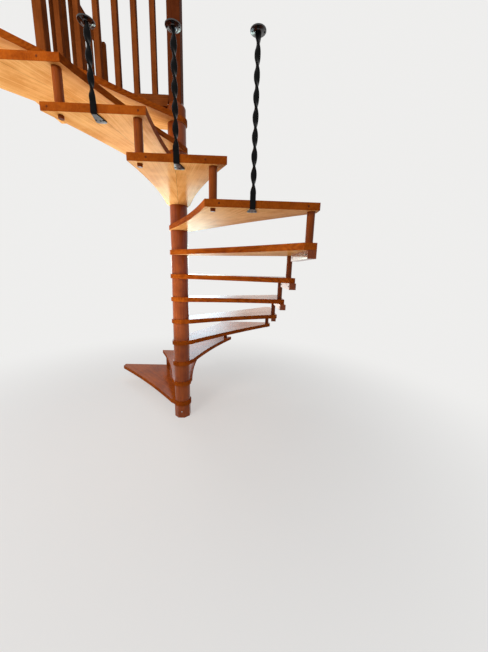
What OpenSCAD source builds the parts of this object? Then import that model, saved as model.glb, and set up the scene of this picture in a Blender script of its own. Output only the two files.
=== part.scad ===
// Square plan spiral stair. Treads are stacked on a round column and joined
// at their outer ends by spindles. All lengths are in millimetres, +Z is up.
// The origin is the centre of the column's foot, on the floor.
// The stair climbs clockwise seen from above. The wall side is +X, the open
// front is -Y, and the top step leads off towards -X.

/* [Plan] */
// half of the side of the square plan
half_side = 910; // [850:5:1000]
// height from the top of one tread to the top of the next
rise = 195; // [185:1:205]
// height of the first tread's top over the floor
first_rise = 160; // [145:1:195]

/* [Treads] */
// thickness of every tread
tread_thickness = 34; // [28:1:42]
// diameter of the tread's collar on the column
collar_diameter = 160; // [154:1:180]
// overhang past the nominal step line at the narrowest place
waist_overhang = 38; // [32:1:46]
// place of the narrowest overhang, as a share of the step line
waist_place = 0.67; // [0.6:0.01:0.75]

/* [Column] */
// diameter of the round column between the treads
column_diameter = 140; // [120:1:146]
// width of the eight sided foot block from corner to corner
foot_corner_width = 150; // [140:1:154]
// diameter of the steel rod inside the column
rod_diameter = 40; // [25:1:50]
// height of the round cap over the top step
cap_height = 102; // [80:1:140]
// width of the cap's bevel
cap_bevel = 16; // [6:1:20]
// height of the cap's bevel
cap_bevel_height = 28; // [10:1:40]
// width of the square post on the cap
post_width = 95; // [80:1:96]

/* [Spindles] */
// diameter of the spindles at the treads' outer ends
spindle_diameter = 42; // [34:1:46]
// diameter of a spindle's lower tenon
tenon_diameter = 26; // [20:1:30]
// length of tenon that stands out under the tread
tenon_projection = 17; // [8:1:24]
// distance from the tread's outer edge to the spindle's axis
spindle_inset = 36; // [32:1:44]

/* [Hangers] */
// height of the surface that the hangers are fixed to
hanger_top = 2422; // [2380:1:2480]
// width of the flat iron bar
bar_width = 29; // [24:1:32]
// thickness of the twisted bar
bar_thickness = 12; // [8:1:14]
// length of bar for one full turn of the twist
twist_pitch = 166; // [140:2:220]
// thickness of the flattened strap at the tread
strap_thickness = 6; // [4:0.5:8]
// height of the strap's top over the tread
strap_rise = 12; // [6:1:24]
// length of the foot under the tread
foot_length = 80; // [60:1:95]
// width of the foot at its spread end
foot_width = 54; // [40:1:60]
// diameter of the round top plate
plate_diameter = 72; // [60:1:90]
// thickness of the round top plate
plate_thickness = 8; // [5:1:12]

/* [Wall cleats] */
// depth of a cleat from the wall
cleat_depth = 48; // [36:1:52]
// height of a cleat
cleat_height = 46; // [36:1:60]

/* [Gallery guard] */
// clear height from the top step to the bottom rail
rail_lift = 65; // [50:1:90]
// height of the bottom rail
rail_height = 77; // [60:1:90]
// thickness of the bottom rail
rail_thickness = 45; // [42:1:60]
// width of a square baluster
baluster_width = 38; // [30:1:40]
// distance from one baluster to the next
baluster_pitch = 132.5; // [120:0.5:135]
// distance of the first baluster's axis from the column's axis
baluster_start = 150; // [110:1:160]
// least clear space between the last baluster and the newel
baluster_clear = 20; // [10:1:60]
// height of the guard over the upper floor
guard_height = 885; // [850:5:1100]
// height of the handrail's section
handrail_height = 48; // [40:1:70]
// width of the handrail
handrail_width = 64; // [50:1:80]
// width of the square corner newel
newel_width = 65; // [55:1:90]
// distance of the corner newel's axis from the column's axis
newel_distance = 938; // [925:1:990]
// distance of the return's first baluster from the guard's middle line
return_start = 160; // [100:1:200]
// depth of the half newel on the wall at the return's end
wall_newel_depth = 32; // [24:1:60]

/* [Hidden] */

// sixteen steps make one full turn
step_angle = 22.5;
tread_count = 13;
// clearance all round a seated round piece
seat = 0.3;
// distance that a cut runs past the faces it goes through
past = 1;
// slope of the short flats between a collar and its tread's hollow sides
root_slope = 0.15;
// height of the rod's lower end, and share of the cap that the rod fills
rod_bottom = 15;
rod_share = 0.6;
// height of the plain stretch of bar between the strap and the twist
bar_root = 14;
// size of the corners taken off the foot's spread end
foot_corner = 12;
// thickness of a top plate's rim, and diameter of the low boss round the bar
plate_rim = 3;
plate_boss = 40;
tread_color = [0.62, 0.27, 0.11];
column_color = [0.60, 0.27, 0.12];
pine_color = [0.80, 0.42, 0.16];
iron_color = [0.03, 0.03, 0.03];
steel_color = [0.55, 0.55, 0.56];
curve_faces = 96;
big_curve_faces = 720;

// height of the top of tread k
function top_of(k) = first_rise + (k - 1) * rise;
// height of the underside of tread k
function under_of(k) = top_of(k) - tread_thickness;
// angle of the back line of tread k, which is the nosing line of tread k + 1
function back_angle(k) = 112.5 - step_angle * (k - 1);
// length of the line from the column's axis to the edge of a square
function reach(a, half) = half / max(abs(cos(a)), abs(sin(a)));
// place of the spindle that stands on tread k
function spindle_at(k) = reach(back_angle(k), half_side - spindle_inset)
  * [cos(back_angle(k)), sin(back_angle(k))];
// place of a hanger on the front edge, counted from the left
function hanger_x(i) = (i - 0.5) * half_side * tan(step_angle);

// Large cylinder that hollows one side of a tread. The line runs at angle a,
// and side is 1 for the nosing and -1 for the back.
module side_hollow(a, side, z) {
  waist = waist_place * reach(a, half_side);
  gain = collar_diameter / 2 - waist_overhang;
  run = waist - collar_diameter / 2;
  radius = run * run / (2 * gain) + gain / 2;
  rotate([0, 0, a])
    translate([waist, side * (waist_overhang + radius), z - past])
    cylinder(h = tread_thickness + 2 * past, r = radius, $fn = big_curve_faces);
}

// Point at distance along a line at angle a, moved off to one side of it.
function off_line(a, along, side, off) = [
  along * cos(a) - side * off * sin(a),
  along * sin(a) + side * off * cos(a)
];

// Tread between a nosing line and a back line, with its collar, hollow
// sides and rod hole.
module step_body(nosing, back, z) {
  r = collar_diameter / 2;
  near_off = 0.9 * r;
  far = 2 * half_side;
  difference() {
    union() {
      intersection() {
        translate([0, 0, z])
          linear_extrude(height = tread_thickness)
          polygon([
            off_line(nosing, 0, 1, near_off),
            off_line(nosing, far, 1, near_off + far * root_slope),
            off_line(back, far, -1, near_off + far * root_slope),
            off_line(back, 0, -1, near_off)
          ]);
        translate([-half_side, -half_side, z])
          cube([2 * half_side, 2 * half_side, tread_thickness]);
      }
      translate([0, 0, z])
        cylinder(h = tread_thickness, r = r, $fn = curve_faces);
    }
    side_hollow(nosing, 1, z);
    side_hollow(back, -1, z);
    translate([0, 0, z - past])
      cylinder(h = tread_thickness + 2 * past, d = rod_diameter + 2 * seat, $fn = curve_faces);
  }
}

// Ordinary tread k with the hole for its own spindle's tenon.
module tread(k) {
  color(tread_color)
  difference() {
    step_body(back_angle(k) + step_angle, back_angle(k), under_of(k));
    translate([spindle_at(k).x, spindle_at(k).y, under_of(k) - past])
      cylinder(
        h = tread_thickness + 2 * past, d = tenon_diameter + 2 * seat,
        $fn = curve_faces
      );
  }
}

module tread_01() { tread(1); }
module tread_02() { tread(2); }
module tread_03() { tread(3); }
module tread_04() { tread(4); }
module tread_05() { tread(5); }
module tread_06() { tread(6); }
module tread_07() { tread(7); }
module tread_08() { tread(8); }
module tread_09() { tread(9); }
module tread_10() { tread(10); }
module tread_11() { tread(11); }
module tread_12() { tread(12); }

// Wide top step, from the last nosing line to the line under the guard.
module top_step() {
  color(tread_color)
  step_body(-135, -180, under_of(tread_count));
}

// Eight sided foot block under the first tread.
module column_plinth() {
  color(column_color)
  difference() {
    rotate([0, 0, 22.5])
      cylinder(h = under_of(1), d = foot_corner_width, $fn = 8);
    translate([0, 0, rod_bottom])
      cylinder(h = under_of(1), d = rod_diameter + 2 * seat, $fn = curve_faces);
  }
}

// Round column pieces between the collars.
module column_spacers() {
  color(column_color)
  for (k = [1 : tread_count - 1])
    difference() {
      translate([0, 0, top_of(k)])
        cylinder(h = rise - tread_thickness, d = column_diameter, $fn = curve_faces);
      translate([0, 0, top_of(k) - past])
        cylinder(h = rise, d = rod_diameter + 2 * seat, $fn = curve_faces);
    }
}

// Steel rod that holds the stack together.
module column_rod() {
  color(steel_color)
  translate([0, 0, rod_bottom + seat])
    cylinder(
      h = top_of(tread_count) + cap_height * rod_share - rod_bottom - 2 * seat,
      d = rod_diameter, $fn = curve_faces
    );
}

// Round bevelled cap on the top step's collar.
module column_cap() {
  color(column_color)
  difference() {
    translate([0, 0, top_of(tread_count)])
      union() {
        cylinder(h = cap_height - cap_bevel_height, d = column_diameter, $fn = curve_faces);
        translate([0, 0, cap_height - cap_bevel_height])
          cylinder(
            h = cap_bevel_height, d1 = column_diameter,
            d2 = column_diameter - 2 * cap_bevel, $fn = curve_faces
          );
      }
    translate([0, 0, top_of(tread_count) - past])
      cylinder(
        h = cap_height * rod_share + past, d = rod_diameter + 2 * seat,
        $fn = curve_faces
      );
  }
}

upper_floor = top_of(tread_count) + rise;
guard_top = upper_floor + guard_height;
rail_bottom = top_of(tread_count) + rail_lift;
rail_top = rail_bottom + rail_height;
// height of the posts' heads over the handrail
post_head = 15;
newel_drop = 40;
head_bevel = 8;

// Side view of a post with a bevelled head.
module post_profile(width, z0, z1) {
  w = width / 2;
  polygon([
    [-w, z0], [w, z0], [w, z1 - head_bevel],
    [w - head_bevel, z1], [-w + head_bevel, z1], [-w, z1 - head_bevel]
  ]);
}

// Post with a bevelled head, from one height to another. Place is the middle
// of its plan, and size is its width along X and along Y.
module bevelled_post(place, size, z0, z1) {
  intersection() {
    translate([place.x, place.y + size.y / 2, 0])
      rotate([90, 0, 0])
      linear_extrude(height = size.y)
      post_profile(size.x, z0, z1);
    translate([place.x - size.x / 2, place.y, 0])
      rotate([90, 0, 90])
      linear_extrude(height = size.x)
      post_profile(size.y, z0, z1);
  }
}

// Square post that stands on the cap and carries the guard.
module column_post() {
  color(pine_color)
  bevelled_post(
    [0, 0], [post_width, post_width],
    top_of(tread_count) + cap_height, guard_top + post_head
  );
}

// The guard runs along X behind the top step, from the post to the newel.
rail_front = -post_width / 2;
rail_middle = rail_front + rail_thickness / 2;
rail_from = -newel_distance + newel_width / 2;
rail_length = -post_width / 2 - rail_from;

// Number of balusters that fit between a first place and the face of a post.
function fitting(first, face) =
  1 + floor((face - baluster_width / 2 - baluster_clear - first) / baluster_pitch);

// Post at the corner of the guard and its return.
module gallery_newel() {
  color(pine_color)
  bevelled_post(
    [-newel_distance, rail_middle], [newel_width, newel_width],
    rail_bottom - newel_drop, guard_top + post_head
  );
}

// Low rail that carries the balusters. Its end is cut to fit round the cap.
module gallery_bottom_rail() {
  color(pine_color)
  difference() {
    translate([rail_from, rail_front, rail_bottom])
      cube([rail_length, rail_thickness, rail_height]);
    translate([0, 0, top_of(tread_count)])
      cylinder(h = cap_height + seat, d = column_diameter + 2 * seat, $fn = curve_faces);
  }
}

// Square baluster from a rail's top to the handrail.
module baluster(place, from) {
  translate([place.x - baluster_width / 2, place.y - baluster_width / 2, from])
    cube([baluster_width, baluster_width, guard_top - handrail_height - from]);
}

// Balusters between the low rail and the handrail.
module gallery_balusters() {
  color(pine_color)
  for (i = [0 : fitting(baluster_start, -rail_from) - 1])
    baluster([-baluster_start - i * baluster_pitch, rail_middle], rail_top);
}

// Handrail between the post and the newel.
module gallery_handrail() {
  color(pine_color)
  translate([rail_from, rail_middle - handrail_width / 2, guard_top - handrail_height])
  cube([rail_length, handrail_width, handrail_height]);
}

// The return runs along Y at the edge of the upper floor, to the wall behind.
return_from = rail_middle + newel_width / 2;
return_to = half_side - wall_newel_depth;
return_rail_bottom = upper_floor + rail_lift;
first_return_baluster = rail_middle + return_start;

// Half newel on the wall behind.
module return_wall_newel() {
  color(pine_color)
  bevelled_post(
    [-newel_distance, half_side - wall_newel_depth / 2], [post_width, wall_newel_depth],
    return_rail_bottom - newel_drop, guard_top + post_head
  );
}

module return_bottom_rail() {
  color(pine_color)
  translate([-newel_distance - rail_thickness / 2, return_from, return_rail_bottom])
  cube([rail_thickness, return_to - return_from, rail_height]);
}

module return_balusters() {
  color(pine_color)
  for (i = [0 : fitting(first_return_baluster, return_to) - 1])
    baluster(
      [-newel_distance, first_return_baluster + i * baluster_pitch],
      return_rail_bottom + rail_height
    );
}

module return_handrail() {
  color(pine_color)
  translate([-newel_distance - handrail_width / 2, return_from, guard_top - handrail_height])
  cube([handrail_width, return_to - return_from, handrail_height]);
}

// Spindles with their lower tenons.
module spindles() {
  color(column_color)
  for (k = [1 : tread_count - 1])
    translate([spindle_at(k).x, spindle_at(k).y, 0]) {
      translate([0, 0, top_of(k)])
        cylinder(h = rise - tread_thickness, d = spindle_diameter, $fn = curve_faces);
      translate([0, 0, under_of(k) - tenon_projection])
        cylinder(
          h = tread_thickness + tenon_projection, d = tenon_diameter,
          $fn = curve_faces
        );
    }
}

// Section of the twisted bar with its edges taken off.
module bar_section() {
  w = bar_width / 2;
  t = bar_thickness / 2;
  c = bar_thickness / 5;
  polygon([
    [-w + c, -t], [w - c, -t], [w, -t + c], [w, t - c],
    [w - c, t], [-w + c, t], [-w, t - c], [-w, -t + c]
  ]);
}

// Outline of the foot under the tread, which spreads out from the strap.
module foot_outline() {
  root = bar_width / 2;
  end = foot_width / 2;
  polygon([
    [-root, -strap_thickness], [root, -strap_thickness], [root, strap_thickness],
    [end, foot_length - foot_corner], [end - foot_corner, foot_length],
    [-end + foot_corner, foot_length], [-end, foot_length - foot_corner],
    [-root, strap_thickness]
  ]);
}

// Iron hanger for tread k at place i along the front.
module hanger(k, i) {
  strap_bottom = under_of(k) - strap_thickness;
  strap_top = top_of(k) + strap_rise;
  twist_from = strap_top + bar_root;
  length = hanger_top - plate_thickness - twist_from;
  translate([hanger_x(i), -half_side, 0]) {
    translate([0, -bar_thickness / 2, twist_from])
      linear_extrude(
        height = length, twist = -360 * length / twist_pitch,
        slices = ceil(length / twist_pitch * 24), segments = 8
      )
      bar_section();
    translate([-bar_width / 2, -bar_thickness, strap_top])
      cube([bar_width, bar_thickness, bar_root]);
    translate([-bar_width / 2, -strap_thickness, strap_bottom])
      cube([bar_width, strap_thickness, strap_top - strap_bottom]);
    translate([0, 0, strap_bottom])
      linear_extrude(height = strap_thickness)
        foot_outline();
  }
}

module hanger_left() { color(iron_color) hanger(11, 0); }
module hanger_middle() { color(iron_color) hanger(10, 1); }
module hanger_right() { color(iron_color) hanger(9, 2); }

// Round plates that fix the hangers overhead. Their undersides swell to a boss.
module hanger_plates() {
  color(iron_color)
  for (i = [0 : 2])
    translate([hanger_x(i), -half_side - bar_thickness / 2, hanger_top - plate_thickness]) {
      cylinder(
        h = plate_thickness - plate_rim, d1 = plate_boss, d2 = plate_diameter,
        $fn = curve_faces
      );
      translate([0, 0, plate_thickness - plate_rim])
        cylinder(h = plate_rim, d = plate_diameter, $fn = curve_faces);
    }
}

// Ends of the wall cleats, measured from the spindles beside them.
cleat_near = [18, -130, -108, -36];
cleat_far = -116;

// Cleats that carry treads 5 to 8 along the wall.
module wall_cleats() {
  color(column_color)
  for (n = [0 : 3])
    difference() {
      translate([
        half_side - cleat_depth, spindle_at(n + 5).y + cleat_near[n],
        under_of(n + 5) - cleat_height
      ])
      cube([
        cleat_depth,
        spindle_at(n + 4).y + cleat_far - spindle_at(n + 5).y - cleat_near[n],
        cleat_height
      ]);
      translate([
        spindle_at(n + 5).x, spindle_at(n + 5).y, under_of(n + 5) - tenon_projection - seat
      ])
      cylinder(h = tenon_projection + past, d = tenon_diameter + 2 * seat, $fn = curve_faces);
    }
}

column_plinth();
column_spacers();
column_rod();
column_cap();
column_post();
tread_01();
tread_02();
tread_03();
tread_04();
tread_05();
tread_06();
tread_07();
tread_08();
tread_09();
tread_10();
tread_11();
tread_12();
top_step();
spindles();
hanger_left();
hanger_middle();
hanger_right();
hanger_plates();
wall_cleats();
gallery_bottom_rail();
gallery_balusters();
gallery_handrail();
gallery_newel();
return_bottom_rail();
return_balusters();
return_handrail();
return_wall_newel();
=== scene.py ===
import math
import random

import bmesh
import bpy
from mathutils import Matrix, Vector


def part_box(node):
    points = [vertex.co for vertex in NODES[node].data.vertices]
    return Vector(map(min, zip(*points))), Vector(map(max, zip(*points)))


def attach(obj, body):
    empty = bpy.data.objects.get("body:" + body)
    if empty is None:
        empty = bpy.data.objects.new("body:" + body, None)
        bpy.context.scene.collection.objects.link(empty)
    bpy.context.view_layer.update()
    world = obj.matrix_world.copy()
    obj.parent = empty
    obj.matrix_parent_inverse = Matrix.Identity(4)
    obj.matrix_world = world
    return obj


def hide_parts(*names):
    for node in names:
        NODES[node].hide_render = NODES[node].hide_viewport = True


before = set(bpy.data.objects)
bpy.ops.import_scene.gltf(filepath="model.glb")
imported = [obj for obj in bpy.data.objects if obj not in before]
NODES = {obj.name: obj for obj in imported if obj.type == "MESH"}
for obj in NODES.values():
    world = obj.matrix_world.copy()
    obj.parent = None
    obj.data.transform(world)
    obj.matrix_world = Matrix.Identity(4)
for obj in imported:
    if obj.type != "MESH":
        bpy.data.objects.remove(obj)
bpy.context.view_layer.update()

RNG = random.Random(11)
SCENE = bpy.context.scene
X, Y, Z = (1, 0, 0), (0, 1, 0), (0, 0, 1)

# Plan of the stair, in metres and degrees. HALF and THICK are read from the
# treads, whose boards are drawn thicker than the solids, by FACE_EXTRA on
# each face.
TREADS = ["tread_%02d" % k for k in range(1, 13)] + ["top_step"]
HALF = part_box("tread_05")[1].x
FACE_EXTRA = 0.002
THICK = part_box("tread_01")[1].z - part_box("tread_01")[0].z + 2 * FACE_EXTRA
STEP = 22.5
FIRST_TREAD_MIDDLE = 123.75
TOP_STEP_MIDDLE = -157.5

# Points nearer than this are merged, and faces flatter than this are joined,
# before the edges are rounded.
MERGE_REACH = 0.00002
FLAT_ANGLE = 0.15

# Roundings of the wooden edges, and the angle above which an edge gets one.
TREAD_ROUND = 0.0022
POST_ROUND = 0.004
BALUSTER_ROUND = 0.003
RAIL_ROUND = 0.012
TURNED_ROUND = 0.0025
SPINDLE_ROUND = 0.0015
ROUNDED_FROM = 28.0
ROUND_SEGMENTS = 3

# Edges nearer to the column's axis than this are hidden.
TREAD_HIDDEN = 0.06
COLUMN_HIDDEN = 0.03

# Depth of the post's foot in the column's cap, and the height above the foot
# up to which its points go down with it.
POST_SUNK = 0.024
POST_FOOT_BAND = 0.006

# Wood: splay of the boards' grain in degrees, reach of the grain's random
# places, share of the rings in the tone, and how much lighter the rounded edges
# get, partly from wear and partly as a painted highlight.
GRAIN_SPLAY = 8.0
SEED_REACH = ((0, 9), (0, 4), (-0.02, 0.02))
RING_SHARE = 0.2
EDGE_WEAR_AND_HIGHLIGHT = 0.35
VARNISH_IOR = 1.27

# A wooden face looks straight along an axis if its normal has more than FACING
# there. FACING_DOWN is the looser limit for the hangers' feet.
FACING = 0.98
FACING_DOWN = 0.9

# Faces that meet at less than this angle are shaded as one.
WOOD_SMOOTH = 40.0
IRON_SMOOTH = 50.0

# Sections of the iron hangers. The foot spreads out from its neck, and its
# corners are rounded. The strap rises past the tread and eases into the bar.
BAR_WIDTH = 0.029
BAR_THICK = 0.012
STRAP_THICK = 0.006
STRAP_RISE = 0.004
STRAP_EASE = 0.022
FOOT_WIDTH = 0.054
FOOT_NECK = 0.006
FOOT_CORNER = 0.012
FOOT_SHARES = (1.0, 0.985, 0.96, 0.93, 0.89, 0.85, 0.7, 0.55, 0.4, 0.25, 0.12, 0.05)
BEND_GAP = 0.001
BEND_RISE = 0.008
BEND_STEPS = 8
STRAP_STEPS = 13
EASE_STEPS = 8

# The twist of the bar: pitch, height of its slices, and how uneven it is.
TWIST_PITCH = 0.166
TWIST_SLICE = 0.0028
UNEVEN_SHARE = 0.03
UNEVEN_RATE = 71.0

# Each hanger with the number of the tread that it carries.
HANGERS = (("hanger_left", 11), ("hanger_middle", 10), ("hanger_right", 9))

# Radius and depth of the overhead plates' outline.
PLATE_PROFILE = ((0.036, 0.0), (0.036, 0.0030), (0.0354, 0.0040), (0.0340, 0.0046),
                 (0.030, 0.0052), (0.026, 0.0060), (0.022, 0.0070), (0.0195, 0.0080),
                 (0.0178, 0.0092), (0.0160, 0.0097), (0.0, 0.0097))
PLATE_SIDES = 64

# Screws: outline as shares of the radius, radii of the heads, their lift off
# the surface, and places. Those in a foot are given from the tread's edge and
# the foot's middle line, those in a plate from its middle.
SCREW_SIDES = 20
SCREW_LIFT = 0.0004
FOOT_SCREW_LIFT = 0.0002
SCREW_RECESS = 0.42
SCREW_PROFILE = ((1.0, -0.25), (1.0, 0.02), (0.93, 0.12), (0.72, 0.246),
                 (SCREW_RECESS, 0.344), (0.30, 0.3496), (0.20, -0.10), (0.0, -0.12))
FOOT_SCREW = 0.0046
FOOT_SCREW_PLACES = ((0.050, -0.017), (0.056, 0.002), (0.052, 0.017))
PLATE_SCREW = 0.0042
PLATE_SCREW_PLACES = ((-0.027, 0.0), (0.027, 0.0), (0.0, 0.027))
PLATE_SCREW_DEPTH = 0.0058
WOOD_SCREW = 0.0062
CLEAT_SCREW_INSET = 0.03
FOOT_BLOCK_SCREW = (0.004, 0.062)

# Wooden plugs in the treads' front edges, by the number of the tread.
PLUG_RADIUS = 0.0052
PLUG_PROUD = 0.0005
PLUG_SUNK = 0.002
PLUG_SIDES = 24
PLUG_PLACES = ((9, (0.396, 0.849)), (10, (0.041, 0.329)), (11, (-0.403, 0.015)),
               (12, (-0.868, -0.424)))

# Floor and backdrop.
BACKDROP = (0.86, 0.855, 0.845, 1.0)
FLOOR_COLOR = (0.80, 0.79, 0.775, 1)
FLOOR_RINGS = (0.5, 1.5, 3, 5, 8, 14, 40)
FLOOR_SIDES = 96
FLOOR_DROP = 0.0005
WORLD_COLOR = (0.97, 0.97, 1.0, 1)
WORLD_STRENGTH = 0.32

# Lamps, each with its place, target, size and watts.
LAMPS = (
    ("key", (-1.1, -2.2, 3.0), (-0.4, -0.8, 2.1), (1.1, 1.1), 41),
    ("fill", (3.8, -3.2, 2.4), (0, 0, 1.4), (2.4, 2.4), 4),
    ("left", (-3.0, -1.7, 1.9), (0, 0, 1.6), (0.9, 1.4), 16),
    ("rim", (-2.6, 4.4, 3.6), (0, 0, 1.6), (2.6, 2.2), 66),
    ("low", (-0.4, -0.5, 0.75), (-0.4, -0.5, 2.3), (0.9, 0.6), 4.6),
    ("left_low", (-0.95, -0.3, 0.75), (-0.95, -0.3, 2.3), (0.9, 0.7), 8.2),
    ("top_low", (-0.55, 0.4, 1.5), (-0.5, -0.1, 2.4), (0.6, 0.5), 9.5),
)

# Panels that are only seen mirrored, each with a colour besides. Each lies on
# a plane of its own, because panels on one plane hide each other.
PANELS = (
    ("left_panel", (-3.6, -1.4, 2.2), (0, 0, 1.8), (0.6, 2.8), 12, (1, 1, 1)),
    ("back_panel", (-0.05, 1.05, 1.0), (-0.05, 0, 1.0), (1.4, 1.4), 27, (0.66, 0.88, 1.0)),
    ("glow_panel", (-0.16, 1.0, 1.54), (-0.16, 0, 1.54), (1.35, 0.46), 30, (0.76, 1.0, 0.86)),
    ("warm_panel", (0.72, 1.1, 0.98), (0.72, 0, 0.98), (1.3, 1.0), 4, (1.0, 0.76, 0.6)),
    ("cleat_panel", (0.5, 1.02, 1.52), (0.5, 0, 1.52), (0.5, 0.3), 0.3, (1.0, 0.84, 0.72)),
    ("side_panel", (-0.75, 1.08, 1.45), (-0.75, 0, 1.45), (1.3, 0.9), 14, (1.0, 0.98, 0.93)),
)

# The camera's place, its angles in degrees, its focal length in pixels of a
# picture with this long side, and its sensor in millimetres.
CAMERA_PLACE = (0.4967, -2.3288, 1.3737)
CAMERA_YAW = 1.71
CAMERA_PITCH = 11.87
CAMERA_ROLL = -1.63
FOCAL_PIXELS = 262.53
LONG_SIDE_PIXELS = 652.0
SENSOR = 36.0


def tread_top(k):
    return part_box(TREADS[k - 1])[1].z + FACE_EXTRA


def tread_under(k):
    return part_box(TREADS[k - 1])[0].z - FACE_EXTRA


def middle_x(node):
    low_corner, high_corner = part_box(node)
    return (low_corner.x + high_corner.x) / 2


def lin(r, g, b):
    """Linear colour from the 0 to 255 values of a screen colour."""
    def one(c):
        c = c / 255.0
        return c / 12.92 if c <= 0.04045 else ((c + 0.055) / 1.055) ** 2.4
    return (one(r), one(g), one(b), 1.0)


def shade(color, f, warm=0.0):
    """A darker or lighter copy of a colour. Warm takes blue and green out."""
    return (color[0] * f, color[1] * f * (1 - warm), color[2] * f * (1 - 2 * warm), 1.0)


class Tree:
    """The nodes of a material, a world or a lamp, with short calls that add and
    link them."""

    def __init__(self, owner, output="OutputMaterial"):
        owner.use_nodes = True
        self.owner = owner
        self.tree = owner.node_tree
        self.tree.nodes.clear()
        self.out = self.node(output)

    def node(self, kind, **values):
        n = self.tree.nodes.new("ShaderNode" + kind)
        for key, value in values.items():
            setattr(n, key, value)
        return n

    def put(self, socket, value):
        if isinstance(value, bpy.types.NodeSocket):
            self.tree.links.new(value, socket)
        elif value is not None:
            socket.default_value = value

    def math(self, op, a, b=None, c=None):
        n = self.node("Math", operation=op)
        for socket, value in zip(n.inputs, (a, b, c)):
            self.put(socket, value)
        return n.outputs[0]

    def vmath(self, op, a, b=None, out=0):
        n = self.node("VectorMath", operation=op)
        self.put(n.inputs[0], a)
        self.put(n.inputs[1], b)
        return n.outputs[out]

    def combine(self, x, y, z):
        n = self.node("CombineXYZ")
        for socket, value in zip(n.inputs, (x, y, z)):
            self.put(socket, value)
        return n.outputs[0]

    def split(self, v):
        n = self.node("SeparateXYZ")
        self.put(n.inputs[0], v)
        return n.outputs

    def stretch(self, v, x, y, z):
        """The vector v with its parts multiplied by x, y and z."""
        return self.vmath("MULTIPLY", v, (x, y, z))

    def attribute(self, name, output="Vector"):
        return self.node("Attribute", attribute_name=name).outputs[output]

    def noise(self, v, scale, detail, rough=0.5):
        n = self.node("TexNoise")
        self.put(n.inputs["Vector"], v)
        n.inputs["Scale"].default_value = scale
        n.inputs["Detail"].default_value = detail
        n.inputs["Roughness"].default_value = rough
        return n.outputs["Fac"]

    def ramp(self, fac, stops):
        """Colours at places from 0 to 1."""
        n = self.node("ValToRGB")
        points = n.color_ramp.elements
        while len(points) > 1:
            points.remove(points[-1])
        points[0].position, points[0].color = stops[0]
        for stop, color in stops[1:]:
            points.new(stop).color = color
        self.put(n.inputs[0], fac)
        return n.outputs[0]

    def range(self, v, a, b, c=0.0, d=1.0, smooth=False):
        """The value v, with a to b spread over c to d."""
        kind = "SMOOTHSTEP" if smooth else "LINEAR"
        n = self.node("MapRange", interpolation_type=kind)
        for socket, value in zip(n.inputs, (v, a, b, c, d)):
            self.put(socket, value)
        return n.outputs[0]

    def mix(self, fac, a, b):
        """A mix of two colours."""
        n = self.node("Mix", data_type="RGBA")
        self.put(n.inputs[0], fac)
        self.put(n.inputs[6], a)
        self.put(n.inputs[7], b)
        return n.outputs[2]

    def bump(self, height, strength, distance):
        n = self.node("Bump")
        n.inputs["Strength"].default_value = strength
        n.inputs["Distance"].default_value = distance
        self.put(n.inputs["Height"], height)
        return n.outputs[0]

    def blend(self, fac, a, b):
        """A mix of two shaders."""
        n = self.node("MixShader")
        for socket, value in zip(n.inputs, (fac, a, b)):
            self.put(socket, value)
        return n.outputs[0]

    def backdrop_rays(self):
        """One for the rays of the camera, of reflections and through glass."""
        path = self.node("LightPath").outputs
        seen = self.math("MAXIMUM", path["Is Camera Ray"], path["Is Glossy Ray"])
        return self.math("MAXIMUM", seen, path["Is Transmission Ray"])

    def surface(self, color, rough, normal, metallic=0.0, coat=0.0, coat_rough=0.1,
                coat_ior=VARNISH_IOR, spec=0.5):
        n = self.node("BsdfPrincipled")
        self.put(n.inputs["Base Color"], color)
        self.put(n.inputs["Roughness"], rough)
        self.put(n.inputs["Normal"], normal)
        n.inputs["Metallic"].default_value = metallic
        n.inputs["Coat Weight"].default_value = coat
        n.inputs["Coat Roughness"].default_value = coat_rough
        n.inputs["Coat IOR"].default_value = coat_ior
        n.inputs["Specular IOR Level"].default_value = spec
        self.put(self.out.inputs[0], n.outputs[0])


def new_material(name):
    return Tree(bpy.data.materials.new(name))


def board_point(t, halves):
    """Place of a point in its board: along, across and through, in metres.
    A tread has two boards, which meet at v = 0 and whose grain splays out
    from there. Returns the place and the distance from the joint."""
    point = t.attribute("wood")
    seed = t.attribute("wood_seed")
    u, v, w = t.split(point)
    if not halves:
        return t.vmath("ADD", point, seed), v
    c, s = math.cos(math.radians(GRAIN_SPLAY)), math.sin(math.radians(GRAIN_SPLAY))
    away = t.math("ABSOLUTE", v)
    along = t.math("MULTIPLY_ADD", u, c, t.math("MULTIPLY", away, s))
    across = t.math("MULTIPLY_ADD", away, c, t.math("MULTIPLY", u, -s))
    side = t.math("GREATER_THAN", v, 0.0)
    turned = t.combine(along, across, w)
    other = t.stretch(t.combine(side, side, side), 1.7, 0.53, 0.021)
    return t.vmath("ADD", t.vmath("ADD", turned, seed), other), v


def wood_grain(t, co, ring, fine):
    """Growth rings, fibre streaks, pores and slow changes of tone."""
    slow = t.noise(t.stretch(co, 1.3, 4.0, 4.0), 1.6, 2.0)
    warp = t.noise(t.stretch(co, 0.9, 5.0, 5.0), 2.2, 2.0, 0.45)
    u, v, w = t.split(co)
    rings = t.node("TexWave", wave_type="RINGS", rings_direction="X", wave_profile="SIN")
    t.put(rings.inputs["Vector"], t.combine(
        0.0, t.math("MULTIPLY_ADD", warp, 0.05, v),
        t.math("ADD", t.math("MULTIPLY_ADD", u, 0.05, w), 0.05)))
    rings.inputs["Scale"].default_value = ring
    rings.inputs["Distortion"].default_value = 1.6
    rings.inputs["Detail"].default_value = 2.0
    rings.inputs["Detail Scale"].default_value = 2.0
    streak = t.noise(t.stretch(co, 2.2, fine, fine), 1.0, 4.0, 0.62)
    pores = t.noise(t.stretch(co, 26.0, 520.0, 520.0), 1.0, 2.0, 0.5)
    return rings.outputs["Fac"], streak, pores, slow


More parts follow.
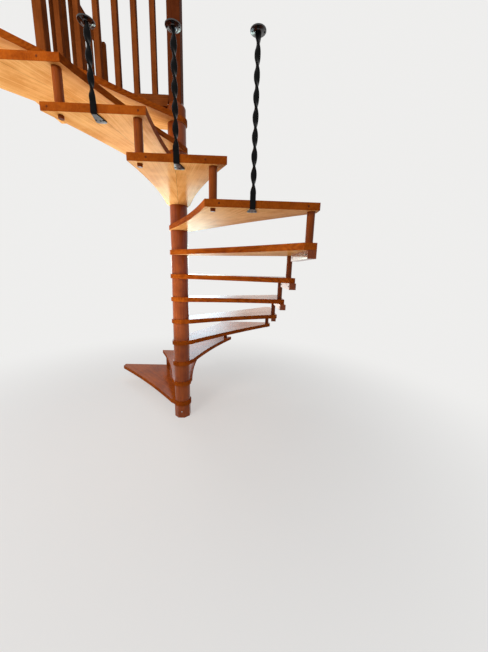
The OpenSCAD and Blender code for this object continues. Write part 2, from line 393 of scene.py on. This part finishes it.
def make_wood(name, dark, mid, light, rough, coat, coat_rough=0.12, coat_ior=VARNISH_IOR,
              spec=0.08, fine=95.0, ring=55.0, contrast=1.0, end_tone=0.35, halves=False):
    """Varnished wood. Fine and ring set how close its fibres and rings lie.
    The end grain is darker by end_tone. With halves, two boards meet at a
    thin line."""
    t = new_material(name)
    co, joint = board_point(t, halves)
    rings, streak, pores, slow = wood_grain(t, co, ring, fine)
    normal = t.node("NewGeometry").outputs["Normal"]
    end = t.math("ABSOLUTE", t.vmath("DOT_PRODUCT", normal, t.attribute("wood_axis"), out=1))
    end = t.range(end, 0.55, 0.95)

    value = t.math("MULTIPLY", rings, RING_SHARE)
    value = t.math("MULTIPLY_ADD", streak, 0.75, value)
    value = t.math("MULTIPLY_ADD", slow, 0.55, value)
    middle = 0.66 + 0.28 * RING_SHARE
    reach = 0.26 / contrast
    value = t.range(value, middle - reach, middle + reach)
    color = t.ramp(value, [(0.0, dark), (0.5, mid), (1.0, light)])
    pore = t.range(pores, 0.60, 0.78, 0.0, 0.26)
    color = t.mix(pore, color, shade(dark, 0.55, 0.05))
    color = t.mix(t.math("MULTIPLY", end, end_tone), color, shade(dark, 0.8))
    height = t.math("MULTIPLY_ADD", pores, -0.35, t.math("MULTIPLY", streak, 0.5))

    if halves:
        gap = t.range(t.math("ABSOLUTE", joint), 0.0008, 0.0017, 1.0, 0.0)
        wobble = t.noise(t.stretch(co, 6.0, 0.0, 0.0), 1.0, 2.0)
        line = t.math("MULTIPLY", gap, t.range(wobble, 0.3, 0.65, 0.45, 0.9))
        color = t.mix(line, color, shade(dark, 0.42))
        height = t.math("MULTIPLY_ADD", gap, -1.6, height)

    # Lighter rounded edges: partly wear, partly a painted highlight along the arrises.
    rub_and_highlight = t.noise(t.stretch(co, 9.0, 9.0, 9.0), 1.0, 3.0, 0.6)
    rub_and_highlight = t.math("MULTIPLY", t.attribute("wood_edge", "Fac"),
                 t.range(rub_and_highlight, 0.42, 0.62, 0.15, 1.0))
    color = t.mix(t.math("MULTIPLY", rub_and_highlight, EDGE_WEAR_AND_HIGHLIGHT), color, shade(light, 1.25))

    smudge = t.noise(t.stretch(co, 3.0, 5.0, 5.0), 1.0, 3.0, 0.6)
    gloss = t.math("MULTIPLY_ADD", streak, 0.14, rough - 0.10)
    gloss = t.math("MULTIPLY_ADD", t.range(smudge, 0.45, 0.7), 0.10, gloss)
    t.surface(color, gloss, t.bump(height, 0.22, 0.0006), coat=coat,
              coat_rough=coat_rough, coat_ior=coat_ior, spec=spec)
    return t.owner


def make_iron(name, spec, gloss):
    """Black enamel on forged iron, a little uneven, with a few worn spots."""
    t = new_material(name)
    co = t.node("TexCoord").outputs["Object"]
    dents = t.noise(co, 130.0, 3.0, 0.55)
    skin = t.noise(co, 520.0, 2.0, 0.5)
    worn = t.range(t.noise(co, 60.0, 4.0, 0.6), 0.66, 0.74, 0.0, 0.3)
    color = t.mix(worn, (0.0018, 0.0017, 0.0018, 1), (0.014, 0.010, 0.008, 1))
    rough = t.range(dents, 0.3, 0.7, gloss, gloss + 0.14)
    height = t.math("MULTIPLY_ADD", skin, 0.25, dents)
    t.surface(color, rough, t.bump(height, 0.35, 0.0008), spec=spec)
    return t.owner


def make_steel(name, tone, rough):
    """Bare steel with a fine brushed grain."""
    t = new_material(name)
    co = t.node("TexCoord").outputs["Object"]
    grain = t.noise(co, 900.0, 3.0, 0.6)
    color = t.mix(t.range(grain, 0.3, 0.7), (tone, tone, tone, 1),
                  (tone * 0.7, tone * 0.68, tone * 0.66, 1))
    t.surface(color, t.range(grain, 0.3, 0.7, rough - 0.06, rough + 0.08),
              t.bump(grain, 0.1, 0.0003), metallic=1.0)
    return t.owner


# Materials. Those of the treads are for their tops, edges and undersides, those
# of the iron for the bars, the plates and the feet. The undersides' paler colour
# is painted reflection of the bright floor and window, on the same brown wood.
BROWNS = (lin(109, 43, 7), lin(144, 64, 11), lin(174, 87, 22))
TOPS = make_wood("tread_varnish", *BROWNS, rough=0.26, coat=0.42, coat_rough=0.2,
                 spec=0.02, halves=True)
EDGES = make_wood("tread_edge_varnish", *BROWNS, rough=0.42, coat=0.08, spec=0.0, halves=True)
# Painted reflection: the undersides are drawn paler than the brown tread wood, standing in for
# the bright floor and window that they mirror.
UNDERSIDES_PAINTED_REFLECTION = make_wood("tread_underside_varnish", lin(190, 118, 50), lin(216, 146, 72),
                       lin(241, 187, 120), rough=0.32, coat=0.18, coat_rough=0.22,
                       spec=0.0, contrast=1.05, halves=True)
COLUMN = make_wood("column_varnish", lin(102, 39, 9), lin(136, 59, 16), lin(163, 81, 28),
                   rough=0.30, coat=0.5, coat_ior=1.4, fine=120.0, ring=40.0)
CLEAT = make_wood("cleat_varnish", lin(98, 36, 7), lin(130, 55, 13), lin(156, 76, 24),
                  rough=0.30, coat=1.0, coat_rough=0.08, coat_ior=1.6, fine=120.0, ring=40.0)
SPINDLE = make_wood("spindle_varnish", lin(90, 34, 4), lin(120, 52, 8), lin(144, 68, 15),
                    rough=0.32, coat=0.3, fine=150.0, ring=50.0, end_tone=0.85)
GUARD = make_wood("guard_varnish", lin(86, 38, 12), lin(112, 55, 20), lin(136, 71, 30),
                  rough=0.36, coat=0.04, spec=0.0, fine=110.0, ring=50.0)
# Partly painted shade: the post's colours are darker than the rest of the guard wood, for the
# shade that it stands in under the beam.
POST_PAINTED_SHADE = make_wood("post_varnish_painted_shade", lin(60, 24, 8), lin(84, 36, 14), lin(104, 50, 22),
                 rough=0.34, coat=0.08, spec=0.0, fine=110.0, ring=50.0)
PLUG = make_wood("plug_wood", lin(78, 30, 6), lin(100, 42, 9), lin(124, 56, 16),
                 rough=0.38, coat=0.1, fine=300.0, ring=80.0)
IRON = make_iron("black_enamel", 0.09, 0.16)
PLATE_IRON = make_iron("black_enamel_plate", 1.0, 0.1)
FLAT_IRON = make_iron("black_enamel_flat", 0.9, 0.26)
STEEL = make_steel("screw_steel", 0.62, 0.28)
ROD = make_steel("rod_steel_plain", 0.5, 0.36)


def finish_mesh(bm, name, material, angle=WOOD_SMOOTH):
    """Object from bm, smooth where its faces meet at less than angle."""
    mesh = bpy.data.meshes.new(name)
    bm.normal_update()
    bm.to_mesh(mesh)
    bm.free()
    obj = bpy.data.objects.new(name, mesh)
    SCENE.collection.objects.link(obj)
    mesh.materials.append(material)
    mesh.polygons.foreach_set("use_smooth", [True] * len(mesh.polygons))
    mesh.set_sharp_from_angle(angle=math.radians(angle))
    return obj


def weighted(obj):
    """Keeps the flat faces flat beside their rounded edges."""
    m = obj.modifiers.new("weighted", "WEIGHTED_NORMAL")
    m.keep_sharp = True
    m.weight = 60


def place(obj, slot, *nodes):
    """Puts a piece in the root body and hides the nodes that it stands for. The slot is not
    used.
    """
    if nodes:
        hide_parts(*nodes)
    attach(obj, "root")


def rounded_copy(node, width, inner=0.0, extra=0.0):
    """Copy of a CAD node's mesh with its edges rounded. Edges nearer than
    inner to the column's axis stay sharp, because they are hidden. The
    rounded strips are marked for the material's lighter edge tone, partly
    wear and partly a painted highlight. The upper and lower faces of the copy
    are moved out by extra."""
    bm = bmesh.new()
    bm.from_mesh(NODES[node].data)
    if extra:
        low_corner, high_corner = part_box(node)
        middle = (low_corner.z + high_corner.z) / 2
        for v in bm.verts:
            v.co.z += extra if v.co.z > middle else -extra
    bmesh.ops.remove_doubles(bm, verts=bm.verts, dist=MERGE_REACH)
    bmesh.ops.dissolve_limit(bm, angle_limit=math.radians(FLAT_ANGLE), verts=bm.verts,
                             edges=bm.edges, use_dissolve_boundaries=False)
    limit = math.radians(ROUNDED_FROM)
    edges = []
    for e in bm.edges:
        mid = (e.verts[0].co + e.verts[1].co) / 2
        hidden = math.hypot(mid.x, mid.y) < inner
        if len(e.link_faces) == 2 and not hidden and e.calc_face_angle(0.0) > limit:
            edges.append(e)
    result = bmesh.ops.bevel(bm, geom=edges, offset=width, segments=ROUND_SEGMENTS, profile=0.5,
                             affect="EDGES", clamp_overlap=True)
    # Marks the rounded strips for the lighter edge tone, partly wear and partly a painted
    # highlight.
    worn = bm.verts.layers.float.new("wood_edge")
    for face in result["faces"]:
        for v in face.verts:
            v[worn] = 1.0
    return bm


def loose_parts(mesh):
    """Lists of vertex numbers, one for each loose solid, from the lowest up."""
    parent = list(range(len(mesh.vertices)))

    def root(i):
        while parent[i] != i:
            parent[i] = parent[parent[i]]
            i = parent[i]
        return i

    for e in mesh.edges:
        i, j = root(e.vertices[0]), root(e.vertices[1])
        if i != j:
            parent[i] = j
    groups = {}
    for p in mesh.vertices:
        groups.setdefault(root(p.index), []).append(p.index)

    def corner(ids):
        return tuple(round(min(mesh.vertices[i].co[c] for i in ids), 4) for c in (2, 0, 1))
    return sorted(groups.values(), key=corner)


def set_wood(obj, along, across, origin=None):
    """Stores each point's place in its board, and the way its grain runs.
    Without an origin each loose solid is a board of its own."""
    along = Vector(along).normalized()
    across = Vector(across).normalized()
    through = along.cross(across)
    mesh = obj.data
    count = len(mesh.vertices)
    places, seeds = [None] * count, [None] * count
    for ids in [list(range(count))] if origin else loose_parts(mesh):
        seed = [RNG.uniform(a, b) for a, b in SEED_REACH]
        middle = sum((mesh.vertices[i].co for i in ids), Vector()) / len(ids)
        start = Vector(origin) if origin else middle
        for i in ids:
            d = mesh.vertices[i].co - start
            places[i] = (d.dot(along), d.dot(across), d.dot(through))
            seeds[i] = seed
    values = {"wood": places, "wood_seed": seeds, "wood_axis": [tuple(along)] * count}
    for name, rows in values.items():
        layer = mesh.attributes.new(name, "FLOAT_VECTOR", "POINT")
        layer.data.foreach_set("vector", [part for row in rows for part in row])


def tread_finish(face):
    """Number of a tread's material at a face: top, edge or underside. The underside's paler
    colour is painted reflection.
    """
    if face.normal.z > FACING:
        return 0
    return 2 if face.normal.z < -FACING else 1


def tread_boards(k):
    """Tread k of two boards, with the grain running out from the column."""
    node = TREADS[k - 1]
    angle = FIRST_TREAD_MIDDLE - STEP * (k - 1) if node != "top_step" else TOP_STEP_MIDDLE
    a = math.radians(angle)
    bm = rounded_copy(node, TREAD_ROUND, TREAD_HIDDEN, FACE_EXTRA)
    obj = finish_mesh(bm, node + "_boards", TOPS)
    obj.data.materials.append(EDGES)
    obj.data.materials.append(UNDERSIDES_PAINTED_REFLECTION)
    for face in obj.data.polygons:
        face.material_index = tread_finish(face)
    weighted(obj)
    set_wood(obj, (math.cos(a), math.sin(a), 0), (-math.sin(a), math.cos(a), 0),
             (0, 0, tread_under(k) + THICK / 2))
    place(obj, "tread_wood", node)


def solid_wood(node, material, slot, width, along, inner=0.0):
    """Round or square pieces with the grain along their length."""
    obj = finish_mesh(rounded_copy(node, width, inner), node + "_turned", material)
    weighted(obj)
    set_wood(obj, along, Y if along == X else X)
    place(obj, slot, node)
    return obj


def cleats():
    """Wall cleats, whose faces towards the stair have a thicker varnish.
    Returns their mesh."""
    mesh = solid_wood("wall_cleats", COLUMN, "column_wood", TURNED_ROUND, Y).data
    mesh.materials.append(CLEAT)
    for face in mesh.polygons:
        face.material_index = 1 if face.normal.x < -FACING else 0
    return mesh


def sunk_post():
    """The post, with its foot sunk into the cap so that its corners are cut in."""
    bm = rounded_copy("column_post", POST_ROUND)
    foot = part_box("column_post")[0].z
    for v in bm.verts:
        if v.co.z < foot + POST_FOOT_BAND:
            v.co.z -= POST_SUNK
    obj = finish_mesh(bm, "column_post_turned", POST_PAINTED_SHADE)
    weighted(obj)
    set_wood(obj, Z, X)
    place(obj, "guard_wood", "column_post")


for number in range(1, len(TREADS) + 1):
    tread_boards(number)
solid_wood("column_plinth", COLUMN, "column_wood", TURNED_ROUND, Z, COLUMN_HIDDEN)
solid_wood("column_spacers", COLUMN, "column_wood", TURNED_ROUND, Z, COLUMN_HIDDEN)
solid_wood("column_cap", SPINDLE, "column_wood", TURNED_ROUND, Z, COLUMN_HIDDEN)
solid_wood("spindles", SPINDLE, "column_wood", SPINDLE_ROUND, Z)
CLEAT_MESH = cleats()
sunk_post()
for node, width, along in (
    ("gallery_newel", POST_ROUND, Z), ("return_wall_newel", POST_ROUND, Z),
    ("gallery_balusters", BALUSTER_ROUND, Z), ("return_balusters", BALUSTER_ROUND, Z),
    ("gallery_bottom_rail", POST_ROUND, X), ("gallery_handrail", RAIL_ROUND, X),
    ("return_bottom_rail", POST_ROUND, Y), ("return_handrail", RAIL_ROUND, Y),
):
    solid_wood(node, GUARD, "guard_wood", width, along)
NODES["column_rod"].data.materials.clear()
NODES["column_rod"].data.materials.append(ROD)


def bar_ring(width, thick):
    """Points of a rounded rectangle, counter clockwise."""
    r = min(width, thick) * 0.42
    steps = 3
    x, y = width / 2 - r, thick / 2 - r
    points = []
    for cx, cy, start in ((x, y, 0), (-x, y, 90), (-x, -y, 180), (x, -y, 270)):
        for n in range(steps + 1):
            a = math.radians(start + 90 * n / steps)
            points.append((cx + r * math.cos(a), cy + r * math.sin(a)))
    return points


def close_rings(bm, rings):
    """Faces between the rings, which all have as many points, and both ends."""
    count = len(rings[0])
    for r0, r1 in zip(rings, rings[1:]):
        for j in range(count):
            k = (j + 1) % count
            bm.faces.new((r0[j], r0[k], r1[k], r1[j]))
    bm.faces.new(list(reversed(rings[0])))
    bm.faces.new(rings[-1])
    bmesh.ops.recalc_face_normals(bm, faces=bm.faces)


def foot_width(d, foot):
    """Width of the foot at d from the tread's edge. It spreads out from the
    strap, and its end has rounded corners."""
    spread = max(0.0, min(1.0, (d - FOOT_NECK) / (foot - FOOT_NECK - FOOT_CORNER)))
    width = BAR_WIDTH + (FOOT_WIDTH - BAR_WIDTH) * spread
    past = max(0.0, d - (foot - FOOT_CORNER)) / FOOT_CORNER
    return width - 2 * FOOT_CORNER * (1 - math.sqrt(max(0.0, 1 - past * past)))


def strap_path(k, y0, foot):
    """Middle line of the strap: under the tread, round its edge and up to the
    twist. Each point has its y, z, tilt in degrees, thickness and width."""
    under = tread_under(k) - STRAP_THICK / 2
    front = y0 - STRAP_THICK / 2
    path = []
    for d in FOOT_SHARES:
        path.append((y0 + foot * d, under, 90.0, STRAP_THICK, foot_width(foot * d, foot)))
    bend = STRAP_THICK / 2 + BEND_GAP
    for n in range(1, BEND_STEPS):
        tilt = 90.0 * n / BEND_STEPS
        a = math.radians(tilt)
        path.append((y0 + BEND_GAP - bend * math.sin(a), under + bend * (1 - math.cos(a)),
                     90.0 - tilt, STRAP_THICK, BAR_WIDTH))
    low, high = under + BEND_RISE, tread_top(k) + STRAP_RISE
    for n in range(STRAP_STEPS + 1):
        path.append((front, low + (high - low) * n / STRAP_STEPS, 0.0, STRAP_THICK, BAR_WIDTH))
    for n in range(1, EASE_STEPS + 1):
        s = n / EASE_STEPS
        e = s * s * (3 - 2 * s)
        path.append((front + (y0 - BAR_THICK / 2 - front) * e, high + STRAP_EASE * s, 0.0,
                     STRAP_THICK + (BAR_THICK - STRAP_THICK) * e, BAR_WIDTH))
    return path


def hanger(node, k):
    """Forged hanger of tread k: a flat foot and strap, and a twisted bar."""
    high_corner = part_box(node)[1]
    x0, y0 = middle_x(node), -HALF
    bm = bmesh.new()
    rings = []
    for y, z, tilt, thick, width in strap_path(k, y0, high_corner.y - y0):
        c, s = math.cos(math.radians(tilt)), math.sin(math.radians(tilt))
        rings.append([bm.verts.new((x0 + px, y + py * c, z + py * s))
                      for px, py in bar_ring(width, thick)])
    axis_y = y0 - BAR_THICK / 2
    low, high = tread_top(k) + STRAP_RISE + STRAP_EASE, high_corner.z
    steps = int((high - low) / TWIST_SLICE)
    for n in range(1, steps + 1):
        z = low + (high - low) * n / steps
        a = -2 * math.pi * (z - low) / TWIST_PITCH
        c, s = math.cos(a), math.sin(a)
        uneven = 1.0 + UNEVEN_SHARE * math.sin(z * UNEVEN_RATE + k)
        rings.append([bm.verts.new((x0 + px * c - py * s, axis_y + px * s + py * c, z))
                      for px, py in bar_ring(BAR_WIDTH * uneven, BAR_THICK)])
    close_rings(bm, rings)
    obj = finish_mesh(bm, node + "_bar", IRON, IRON_SMOOTH)
    obj.data.materials.append(FLAT_IRON)
    for face in obj.data.polygons:
        face.material_index = 1 if face.normal.z < -FACING_DOWN else 0
    place(obj, "black_iron", node)


def turn(bm, centre, axis, profile, seg, lobes=0.0, turned=0.0):
    """Adds a turned form to bm. The profile holds radius and height pairs and
    ends on the axis. Rings of up to the radius lobes are pulled into a cross.
    The form is turned round its axis by the angle turned."""
    n = Vector(axis).normalized()
    side = n.orthogonal().normalized()
    up = n.cross(side)
    c = Vector(centre)
    rings = []
    for r, h in profile:
        if r == 0.0:
            rings.append([bm.verts.new(c + n * h)])
            continue
        ring = []
        for j in range(seg):
            a = 2 * math.pi * j / seg
            pull = 0.72 + 0.5 * abs(math.cos(2 * a)) ** 3 if r <= lobes else 1.0
            point = side * math.cos(a + turned) + up * math.sin(a + turned)
            ring.append(bm.verts.new(c + point * r * pull + n * h))
        rings.append(ring)
    for r0, r1 in zip(rings, rings[1:]):
        for j in range(seg):
            k = (j + 1) % seg
            if len(r1) == 1:
                bm.faces.new((r0[j], r0[k], r1[0]))
            else:
                bm.faces.new((r0[j], r0[k], r1[k], r1[j]))
    return rings


def plate_places():
    """Middle of each overhead plate's upper face."""
    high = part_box("hanger_plates")[1].z
    for node, _ in HANGERS:
        yield middle_x(node), -HALF - BAR_THICK / 2, high


def plates():
    """Round overhead plates that swell down to a low boss round the bar."""
    bm = bmesh.new()
    for centre in plate_places():
        rings = turn(bm, centre, (0, 0, -1), PLATE_PROFILE, PLATE_SIDES)
        bm.faces.new(list(reversed(rings[0])))
    bmesh.ops.recalc_face_normals(bm, faces=bm.faces)
    obj = finish_mesh(bm, "hanger_plates_turned", PLATE_IRON, IRON_SMOOTH)
    place(obj, "black_iron", "hanger_plates")


def screw(bm, centre, normal, radius):
    """Domed screw head with a crossed recess, turned at random."""
    profile = [(r * radius, h * radius) for r, h in SCREW_PROFILE]
    turn(bm, centre, normal, profile, SCREW_SIDES, SCREW_RECESS * radius, RNG.uniform(0, 3))


def cleat_screw_places():
    """Two places on each cleat's face, near its ends."""
    for ids in loose_parts(CLEAT_MESH):
        xs, ys, zs = zip(*(CLEAT_MESH.vertices[i].co for i in ids))
        for y in (min(ys) + CLEAT_SCREW_INSET, max(ys) - CLEAT_SCREW_INSET):
            yield min(xs) - SCREW_LIFT, y, (min(zs) + max(zs)) / 2


def screws():
    """Black screws in the hangers' feet, the plates and the cleats, and a bare
    one in the foot block."""
    bm = bmesh.new()
    for node, k in HANGERS:
        x = middle_x(node)
        z = tread_under(k) - STRAP_THICK - FOOT_SCREW_LIFT
        for d, dx in FOOT_SCREW_PLACES:
            screw(bm, (x + dx, -HALF + d, z), (0, 0, -1), FOOT_SCREW)
    for x, y, z in plate_places():
        for dx, dy in PLATE_SCREW_PLACES:
            screw(bm, (x + dx, y + dy, z - PLATE_SCREW_DEPTH), (0, 0, -1), PLATE_SCREW)
    for centre in cleat_screw_places():
        screw(bm, centre, (-1, 0, 0), WOOD_SCREW)
    bmesh.ops.recalc_face_normals(bm, faces=bm.faces)
    place(finish_mesh(bm, "black_screws", IRON, IRON_SMOOTH), "black_iron")
    bm = bmesh.new()
    x, z = FOOT_BLOCK_SCREW
    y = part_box("column_plinth")[0].y - SCREW_LIFT
    screw(bm, (x, y, z), (0, -1, 0), WOOD_SCREW)
    bmesh.ops.recalc_face_normals(bm, faces=bm.faces)
    place(finish_mesh(bm, "foot_screw", STEEL, IRON_SMOOTH), "rod_steel")


def edge_plugs():
    """Wooden plugs over the screws in the treads' front edges."""
    bm = bmesh.new()
    profile = [(PLUG_RADIUS, -PLUG_SUNK), (PLUG_RADIUS, PLUG_PROUD * 0.4),
               (PLUG_RADIUS * 0.9, PLUG_PROUD), (0.0, PLUG_PROUD * 1.15)]
    for k, xs in PLUG_PLACES:
        for x in xs:
            centre = (x, -HALF, tread_under(k) + THICK / 2)
            turn(bm, centre, (0, -1, 0), profile, PLUG_SIDES)
    bmesh.ops.recalc_face_normals(bm, faces=bm.faces)
    obj = finish_mesh(bm, "edge_plugs", PLUG)
    set_wood(obj, Y, X)
    place(obj, "tread_wood")


for node, k in HANGERS:
    hanger(node, k)
plates()
screws()
edge_plugs()


def floor():
    """Pale round floor that fades into the backdrop's colour."""
    bm = bmesh.new()
    turns = [2 * math.pi * n / FLOOR_SIDES for n in range(FLOOR_SIDES)]
    rings = [[bm.verts.new((r * math.cos(a), r * math.sin(a), -FLOOR_DROP)) for a in turns]
             for r in FLOOR_RINGS]
    bm.faces.new(rings[0])
    for r0, r1 in zip(rings, rings[1:]):
        for n in range(FLOOR_SIDES):
            k = (n + 1) % FLOOR_SIDES
            bm.faces.new((r0[n], r1[n], r1[k], r0[k]))
    t = new_material("pale_floor")
    x, y, _ = t.split(t.node("NewGeometry").outputs["Position"])
    distance = t.vmath("LENGTH", t.combine(x, y, 0.0), out=1)
    diffuse = t.node("BsdfDiffuse")
    diffuse.inputs["Color"].default_value = FLOOR_COLOR
    glow = t.node("Emission")
    glow.inputs["Color"].default_value = BACKDROP
    share = t.math("MULTIPLY", t.range(distance, 0.9, 3.4, 0.55, 1.0, smooth=True),
                   t.backdrop_rays())
    t.put(t.out.inputs[0], t.blend(share, diffuse.outputs[0], glow.outputs[0]))
    finish_mesh(bm, "floor", t.owner)


def backdrop():
    """World that lights the part softly and shows as the pale backdrop."""
    SCENE.world = bpy.data.worlds.new("studio")
    t = Tree(SCENE.world, "OutputWorld")
    fill = t.node("Background")
    fill.inputs["Color"].default_value = WORLD_COLOR
    fill.inputs["Strength"].default_value = WORLD_STRENGTH
    seen = t.node("Background")
    seen.inputs["Color"].default_value = BACKDROP
    t.put(t.out.inputs[0], t.blend(t.backdrop_rays(), fill.outputs[0], seen.outputs[0]))


def area(name, where, target, size, watts, mirrored=False, lights=True, tint=(1, 1, 1)):
    """Soft rectangular lamp that looks at target. Unless it is mirrored, it
    leaves no reflection in the varnish. Unless it lights, it leaves only that."""
    data = bpy.data.lights.new(name, "AREA")
    data.shape = "RECTANGLE"
    data.size, data.size_y = size
    data.energy = watts
    data.color = tint
    obj = bpy.data.objects.new(name, data)
    SCENE.collection.objects.link(obj)
    obj.location = where
    obj.rotation_euler = (Vector(target) - Vector(where)).to_track_quat("-Z", "Y").to_euler()
    obj.visible_camera = False
    obj.visible_glossy = mirrored
    obj.visible_diffuse = lights


def panel(name, where, target, size, watts, tint):
    """Soft panel that fades out towards its rim and is only seen mirrored."""
    area(name, where, target, size, watts, mirrored=True, lights=False, tint=tint)
    t = Tree(bpy.data.lights[name], "OutputLight")
    x, y, _ = t.split(t.node("NewGeometry").outputs["Parametric"])
    across = t.math("MULTIPLY_ADD", x, 2.0, -1.0)
    up = t.math("MULTIPLY_ADD", y, 2.0, -1.0)
    rim = t.vmath("LENGTH", t.combine(across, up, 0.0), out=1)
    glow = t.node("Emission")
    t.put(glow.inputs["Strength"], t.range(rim, 0.15, 1.0, 1.0, 0.0, smooth=True))
    t.put(t.out.inputs[0], glow.outputs[0])


def camera():
    """Camera at the photograph's place, with its wide view."""
    yaw, pitch, roll = (math.radians(a) for a in (CAMERA_YAW, CAMERA_PITCH, CAMERA_ROLL))
    forward = Vector((math.sin(yaw) * math.cos(pitch), math.cos(yaw) * math.cos(pitch),
                      -math.sin(pitch)))
    right = Vector((math.cos(yaw), -math.sin(yaw), 0))
    down = forward.cross(right)
    cam_x = math.cos(roll) * right + math.sin(roll) * down
    cam_down = -math.sin(roll) * right + math.cos(roll) * down
    data = bpy.data.cameras.new("camera")
    obj = bpy.data.objects.new("camera", data)
    SCENE.collection.objects.link(obj)
    matrix = Matrix((cam_x, -cam_down, -forward)).transposed().to_4x4()
    matrix.translation = CAMERA_PLACE
    obj.matrix_world = matrix
    data.sensor_width = SENSOR
    data.sensor_fit = "AUTO"
    data.lens = FOCAL_PIXELS / LONG_SIDE_PIXELS * SENSOR
    data.clip_start = 0.02
    data.clip_end = 200.0
    SCENE.camera = obj


floor()
backdrop()
for lamp in LAMPS:
    area(*lamp)
for row in PANELS:
    panel(*row)
camera()
SCENE.view_settings.view_transform = "Standard"
